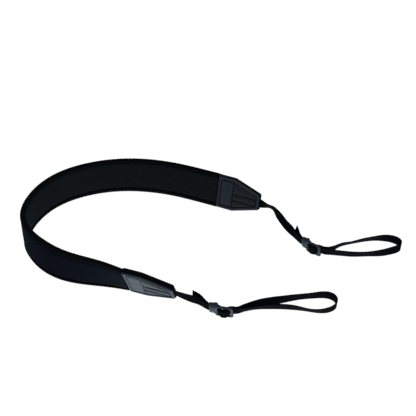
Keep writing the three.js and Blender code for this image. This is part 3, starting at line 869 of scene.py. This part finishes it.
webbing = {
    "width": 0.010,
    "thickness": 0.0013,
    "hold": 0.012,  # length inside the cap
    "tail": 0.019,  # of the cut end, past the keeper
    "tailCurve": 1.3,  # power of the length by which it springs away, 1 for a straight tail
    "tailSlant": 0.0022,
    "settle": 0.01,  # length of the loop over which it takes on its own height and lean
    "bead": 0.00008,  # how much thicker the selvedges are, on each face
    "beadInset": 0.0009,
    "beadWidth": 0.0005,
    "slantWay": 0.007,  # length before the cut end over which the slant comes in
    "faceColumns": 17,
    "edgeColumns": 7,
}

buckle = {
    "thickness": 0.0026,
    "rail": 0.0016,
    "outerBar": 0.0027,
    "loopBar": 0.003,
    "centreBar": 0.0026,
    "slot": 0.0051,
    "slotRoom": 0.0009,  # free height of a slot under the webbing
    "keeper": 0.0062,
    "keeperWall": 0.0014,
    "keeperTaper": 0.35,  # share of its wall that is gone at its free end
    "gusset": 0.0055,  # length along the frame of the webs that brace the keeper
    "gussetTop": 0.0016,  # and at the keeper's back
    "gussetRoot": 0.001,  # how far they reach into the keeper
    "gussetShort": 0.0012,  # how far they stay below its back
    "gussetRounding": 6,  # rounds of smoothing
    "gussetDraw": 0.1,  # share by which their outline is drawn in at their faces
    "fit": 0.0003,
    "humpRise": 0.0004,
    "straight": 0.001,  # how far past the buckle the webbing keeps straight
    "barSunk": 0.0005,  # how far the bar's ends reach into the frame
    # Corners, from 2 for an ellipse to a square at large values.
    "framePower": 8,
    "openingPower": 16,
    "barPower": 4,
    "keeperPower": 3,
    "tunnelPower": 10,
    "around": 200,  # points of each ring
}

# run stands between cap and keeper: turn from the cap's heading, lean to the left of its way, and the
# share of the way down. loop goes round and back: turn, lean, and height in webbing widths.
# The cut end springs away from the run by tailSpread and twists back by tailTwist.
ends = {
    "near": {
        "capRaise": 0.0015,
        "runLength": 0.0355,
        "runTurn": [7, 12, -4],
        "runLean": [-17, -8, -14],
        "runDrop": [0.19, 0.41, 0.66],
        "buckleTurn": 10,
        "buckleLean": -18,
        "loopLength": 0.228,
        "loopTurn": [12, 28, 20, 8, 2, 39, 107, 194, 206, 214, 215, 219, 199],
        "loopLean": [-28, -38, -26, -25, -38, -21, -1, 11, 20, 10, -6, -6, 16],
        "loopHeight": [0.9, 0.98, 0.88, 0.78, 0.65, 0.61, 0.56, 0.52, 0.58, 0.72, 0.9, 1.05, 0.93],
        "tailSpread": 0.004,
        "tailTwist": 40,
    },
    "far": {
        "capRaise": 0,
        "runLength": 0.0795,
        "runTurn": [-8, -41, -37, -36, -30, -32],
        "runLean": [-36, -4, 15, 17, 20, -3],
        "runDrop": [0, 0.1, 0.16, 0.38, 0.53, 0.75],
        "buckleTurn": -12,
        "buckleLean": -11,
        "loopLength": 0.198,
        "loopTurn": [7, 32, 40, 48, 54, 70, 143, 203, 234, 246, 249, 261, 197],
        "loopLean": [-17, -23, -25, -27, -10, 1, -6, 6, 29, 36, 41, 27, 13],
        "loopHeight": [0.86, 0.9, 0.79, 0.74, 0.7, 0.77, 0.64, 0.53, 0.52, 0.64, 0.79, 1.04, 0.89],
        "tailSpread": 0.003,
        "tailTwist": 20,
    },
}

# Heights are measured from the webbing's middle, which keeps to the top of the slots.
slotHigh = webbing["width"] / 2 + buckle["fit"]
slotLow = -slotHigh - buckle["slotRoom"]
buckleHigh = slotHigh + buckle["rail"]
buckleLow = slotLow - buckle["rail"]
barFrom = buckle["outerBar"] + buckle["slot"]
barTo = barFrom + buckle["centreBar"]
buckleLength = barTo + buckle["slot"] + buckle["loopBar"]
layerPitch = webbing["thickness"] + buckle["fit"]
layerNear = buckle["thickness"] / 2 + buckle["fit"] + webbing["thickness"] / 2
layerFar = layerNear + layerPitch
keeperDepth = layerFar + webbing["thickness"] / 2 + buckle["fit"]

# How the two layers climb from behind the outer bar through a slot and over the centre bar: rise is the
# share of the climb, which each layer has at its share of the way from that bar's edge to the middle.
climb = {
    "rise": [0, 0.13, 0.42, 0.74, 0.98],
    "outer": [-0.15, 0.15, 0.29, 0.41, 0.63],
    "inner": [-0.25, 0.33, 0.57, 0.64, 0.78],
}


def layerThrough(layer, depth, crest):
    # Straight pieces from the keeper to the loop, mirrored about the centre bar and then softened.
    middle = (barFrom + barTo) / 2
    alongHalf = lerp(buckle["outerBar"], middle, np.array(climb[layer]))
    depthHalf = lerp(depth, crest, np.array(climb["rise"]))
    loopSide = buckleLength + buckle["straight"]
    x = np.concatenate([[-buckle["keeper"]], alongHalf, [middle], 2 * middle - alongHalf[::-1], [loopSide]])
    y = np.concatenate([[depth], depthHalf, [crest], depthHalf[::-1], [depth]])
    points = np.stack([x, y, 0 * x], -1)
    return softened(respaced(points, lengthsAlong(points), fineStep / 2), 4)


def gussetGrid(foot):
    # A web between keeper and frame: its rounded outline, drawn in a little at both of its faces.
    back = keeperDepth + buckle["keeperWall"] - buckle["gussetShort"]
    root = -buckle["gussetRoot"]
    corners = np.array([[root, 0], [buckle["gusset"], 0], [buckle["gussetTop"], back], [root, back]])
    closed = np.vstack([corners, corners[:1]])
    way = lengthsAlong(closed)
    even = np.linspace(0, way[-1], 80, endpoint=False)
    ring = np.stack([np.interp(even, way, closed[:, k]) for k in (0, 1)], -1)
    for _ in range(buckle["gussetRounding"]):
        ring = (np.roll(ring, 1, 0) + ring + np.roll(ring, -1, 0)) / 3
    middle = ring.mean(0)
    levels = np.array([0, 0.12, 0.4, 0.6, 0.88, 1])
    draw = 1 - buckle["gussetDraw"] * (2 * np.abs(levels - 0.5)) ** 6
    plane = middle + (ring - middle) * draw[:, None, None]
    height = np.broadcast_to((foot + levels * buckle["rail"])[:, None], plane.shape[:2])
    return np.stack([plane[..., 0], plane[..., 1], height], -1)


def buckleGrids():
    # The frame's outer ring, its centre bar, the keeper's sleeve and the two webs that brace it, in
    # the buckle's own frame.
    around = buckle["around"]
    half = buckle["thickness"] / 2
    outer = superRing([0, buckleLow], [buckleLength, buckleHigh], around, buckle["framePower"])
    openingEnd = buckleLength - buckle["loopBar"]
    inner = superRing([buckle["outerBar"], slotLow], [openingEnd, slotHigh], around, buckle["openingPower"])
    plane, depth = ringWall(outer, inner, 0, half)
    ring = np.stack([plane[..., 0], depth, plane[..., 1]], -1)
    section = superRing([barFrom, -half], [barTo, half], 28, buckle["barPower"])
    heights = np.linspace(slotLow - buckle["barSunk"], slotHigh + buckle["barSunk"], 12)
    bar = np.stack(np.broadcast_arrays(section[:, 0], section[:, 1], heights[:, None]), -1)
    back = keeperDepth + buckle["keeperWall"]
    reach = buckle["keeper"] + buckle["outerBar"] / 2
    outer = superRing([-half, -buckleHigh], [back, buckleHigh], around, buckle["keeperPower"])
    inner = superRing([half, -slotHigh], [keeperDepth, slotHigh], around, buckle["tunnelPower"])
    middle = buckle["outerBar"] / 2 - reach / 2
    plane, depth = ringWall(outer, inner, middle, reach / 2, taper=buckle["keeperTaper"])
    keeper = np.stack([depth, plane[..., 0], plane[..., 1]], -1)
    webs = np.stack([gussetGrid(-buckleHigh), gussetGrid(slotHigh)])
    return {"frame": ring[None], "bar": bar[None], "keeper": keeper[None], "webs": webs}


def strapEnd(bandEnd, heading, lean, end):
    # A cap at the band's end, the buckle, and the webbing's whole line: from inside the cap along the run,
    # through the keeper and the slots, round the loop and back through both, and out as the cut end.
    up = leaning(np.float64(heading), np.float64(lean))
    capLocal = localFrame(bandEnd + up * end["capRaise"], heading, lean)
    mouth = placed(capLocal, [cap["length"], 0, -cap["webbingDrop"]])
    held = placed(capLocal, [cap["length"] - webbing["hold"], 0, -cap["webbingDrop"]])
    buckleHeading = heading + end["buckleTurn"]
    aim = localFrame(0 * upright, buckleHeading, end["buckleLean"])
    entryOffset = placed(aim, [-buckle["keeper"], layerNear, 0])
    tilt = math.radians(end["buckleLean"])
    rest = -buckleLow * math.cos(tilt) + buckle["thickness"] / 2 * abs(math.sin(tilt))
    entryHeight = rest + move[2] + entryOffset[2]
    columns = [
        [0, *end["runTurn"], end["buckleTurn"]],
        [lean, *end["runLean"], end["buckleLean"]],
        [0, *end["runDrop"], 1],
    ]
    run = walk(mouth, heading, end["runLength"], columns, lambda _, drop: lerp(mouth[2], entryHeight, drop))
    buckleLocal = localFrame(run["at"][-1] - entryOffset, buckleHeading, end["buckleLean"])
    outbound = placed(buckleLocal, layerThrough("outer", layerNear, -layerFar - buckle["humpRise"]))
    inbound = placed(buckleLocal, layerThrough("inner", layerFar, -layerNear - buckle["humpRise"] / 2))
    inbound = inbound[::-1]
    columns = [end["loopTurn"], end["loopLean"], end["loopHeight"]]
    loop = walk(outbound[-1], buckleHeading, end["loopLength"], columns,
                lambda _, height: height * webbing["width"] + move[2])
    miss = inbound[0] - loop["at"][-1]
    loop["at"] = loop["at"] + miss * np.linspace(0, 1, len(loop["at"]))[:, None]
    # Close to the buckle the loop keeps the height and the lean it has in it.
    buckleUp = buckleLocal["axes"][2]
    past = lengthsAlong(loop["at"])
    free = smoothStep(0, webbing["settle"], np.minimum(past, past[-1] - past))[:, None]
    loop["at"][:, 2:] = lerp(outbound[-1, 2], loop["at"][:, 2:], free)
    loop["up"] = unit(lerp(buckleUp, loop["up"], free))

    share = np.linspace(0, 1, 40)[1:]
    index = np.round((end["runLength"] - webbing["tail"] * share) / fineStep).astype(int)
    spring = share ** webbing["tailCurve"]
    away = (layerPitch + end["tailSpread"] * spring)[:, None]
    tail = run["at"][index] + headed(run["heading"][index] + 90) * away
    tailUp = leaning(run["heading"][index], run["lean"][index] + end["tailTwist"] * spring)
    at = np.vstack([held, run["at"], outbound[1:], loop["at"][1:-1], inbound, tail])
    ups = np.vstack([
        up, run["up"],
        np.tile(buckleUp, (len(outbound) - 1, 1)),
        loop["up"][1:-1],
        np.tile(buckleUp, (len(inbound), 1)),
        tailUp,
    ])
    line = respaced(np.hstack([at, ups]), lengthsAlong(at), fineStep)
    line = softened(line, 2)
    return {"cap": capLocal, "buckle": buckleLocal, "at": line[:, :3], "up": unit(line[:, 3:])}


def webbingGrid(at, up):
    # Flat faces with a thicker bead along both selvedges and half round edges; the cut end is slanted.
    halfWide = webbing["width"] / 2
    halfThick = webbing["thickness"] / 2
    flat = np.linspace(-halfWide + halfThick, halfWide - halfThick, webbing["faceColumns"])
    bead = webbing["bead"] * bumpAt(np.abs(flat) - (halfWide - webbing["beadInset"]), webbing["beadWidth"])
    face = halfThick - webbing["bead"] + bead
    turn = np.radians(np.linspace(-90, 90, webbing["edgeColumns"] + 2)[1:-1])
    topEdge = halfThick * np.cos(turn + np.pi / 2)
    lowEdge = halfThick * np.cos(turn - np.pi / 2)
    across = np.concatenate([face, topEdge, -face, lowEdge])
    roundUp = halfWide - halfThick + halfThick * np.cos(turn)
    along = np.concatenate([flat, roundUp, flat[::-1], -roundUp])
    grid = carried(at, up, across, along)
    way = lengthsAlong(at)
    late = smoothStep(way[-1] - webbing["slantWay"], way[-1], way)[:, None]
    slant = late * (along / halfWide) * webbing["tailSlant"]
    forward = unit(np.gradient(at, axis=0))
    return grid + forward[:, None] * slant[..., None]


# Where each end sets off from the band: place, heading, lean and the side of the outer face.
starts = {
    "near": (bandLine["at"][0], bandLine["heading"][0] - 180, -band["lean"][0], -1),
    "far": (bandLine["at"][-1], bandLine["heading"][-1], band["lean"][-1], 1),
}
for side, (bandEnd, heading, lean, outerSide) in starts.items():
    end = strapEnd(bandEnd, heading, lean, ends[side])
    core = placed(end["cap"], capCoreGrid())
    addPiece(f"{side}_cap_edge", surfaceMesh(f"{side}_cap_edge", core[None]), finishes["capEdge"],
             "cap_core", f"{side}_cap_core")
    for face, way in (("outer", outerSide), ("inner", -outerSide)):
        name = f"{side}_cap_{face}_skin"
        grid, paintedShade = capFaceGrid(way)
        mesh = surfaceMesh(name, placed(end["cap"], grid)[None], paintedShade=paintedShade)
        addPiece(name, mesh, finishes["capSkin"], "cap_face", f"{side}_cap_{face}")
        name = f"{side}_cap_{face}_stitches"
        grid = placed(end["cap"], capSeams(way))
        addPiece(name, surfaceMesh(name, grid), finishes["thread"], "cap_face")
    name = f"{side}_webbing_strap"
    addPiece(name, surfaceMesh(name, webbingGrid(end["at"], end["up"])[None]), finishes["webbingCloth"],
             "webbing", f"{side}_webbing")
    for part, grid in buckleGrids().items():
        name = f"{side}_buckle_{part}"
        closed = part in ("frame", "keeper")
        mesh = surfaceMesh(name, placed(end["buckle"], grid), closedAlong=closed)
        addPiece(name, mesh, finishes["buckleNylon"], "buckle", f"{side}_buckle")
    print(side, "end made")

# The camera looks along +Y and down at a point on the floor, which is told from the band's near end.
view = {
    "elevation": 32.0,
    "distance": 1.175,
    "aimFromBand": (0.083, 0.1675),
    "focal": 87.23,
    "sensor": 36.0,
    "clipStart": 0.01,
}
tilt = math.radians(view["elevation"])
aimX = move[0] + view["aimFromBand"][0]
aimY = move[1] + view["aimFromBand"][1]
camera = bpy.data.objects.new("camera", bpy.data.cameras.new("camera"))
camera.data.lens = view["focal"]
camera.data.sensor_width = view["sensor"]
camera.data.clip_start = view["clipStart"]
camera.location = (aimX, aimY - view["distance"] * math.cos(tilt), view["distance"] * math.sin(tilt))
camera.rotation_euler = (math.pi / 2 - tilt, 0, 0)
bpy.context.scene.collection.objects.link(camera)
bpy.context.scene.camera = camera

studio = {
    "floorSize": 6.0,
    "backdrop": 0.97,  # how bright the camera sees floor and surroundings
    "floorGlow": 0.12,
    "skyLight": 0.06,
    "tint": (0.76, 0.9, 1.0),  # of every lamp
}

lamps = {
    "key": {
        "place": (-0.1, -1.1, 0.9), "aim": (0, 0, 0),
        "size": 0.9, "power": 1.8, "spread": 180, "seen": True,
    },
    "fill": {
        "place": (0.9, 0.3, 1.0), "aim": (0, 0, 0),
        "size": 1.2, "power": 0.6, "spread": 180, "seen": True,
    },
    # The soft light that comes up from the floor.
    "table": {
        "place": (0, 0, 0.0002), "aim": (0, 0.0001, 1),
        "size": 1.4, "power": 2.5, "spread": 100, "seen": False,
    },
}


def addLamp(name, place, aim, size, power, spread, seen):
    # A soft square lamp at place that looks at aim: it turns about z towards the aim and tips up from
    # straight down by the arc cosine of how far the aim lies below it.
    lamp = bpy.data.objects.new(name, bpy.data.lights.new(name, "AREA"))
    lamp.data.size = size
    lamp.data.energy = power
    lamp.data.color = studio["tint"]
    lamp.data.spread = math.radians(spread)
    lamp.visible_camera = seen
    forward = unit(np.array(aim) - np.array(place))
    lamp.location = place
    lamp.rotation_euler = (math.acos(-forward[2]), 0, math.atan2(forward[0], -forward[1]) + math.pi)
    bpy.context.scene.collection.objects.link(lamp)


def addStudio():
    # A white floor and sky, which glow evenly for the camera and dimly for the strap, and the lamps.
    half = studio["floorSize"] / 2
    corners = [(-half, -half, 0), (half, -half, 0), (half, half, 0), (-half, half, 0)]
    mesh = bpy.data.meshes.new("floor")
    mesh.from_pydata(corners, [], [(0, 1, 2, 3)])
    floor = bpy.data.objects.new("floor", mesh)
    bpy.context.scene.collection.objects.link(floor)
    paper = Finish("paper", Base_Color=(0.8, 0.8, 0.8, 1.0), Roughness=0.9, Emission_Strength=1.0)
    paper.feed(Emission_Color=paper.byRay(studio["floorGlow"], studio["backdrop"]))
    mesh.materials.append(paper.material)
    world = bpy.data.worlds.new("studio")
    world.use_nodes = True
    sky = Nodes(world.node_tree, "Background")
    sky.hold(Strength=1.0)
    sky.feed(Color=sky.byRay(studio["skyLight"], studio["backdrop"]))
    bpy.context.scene.world = world
    for name, lamp in lamps.items():
        addLamp(name, **lamp)
    bpy.context.scene.view_settings.view_transform = "Standard"


addStudio()
print("studio made")
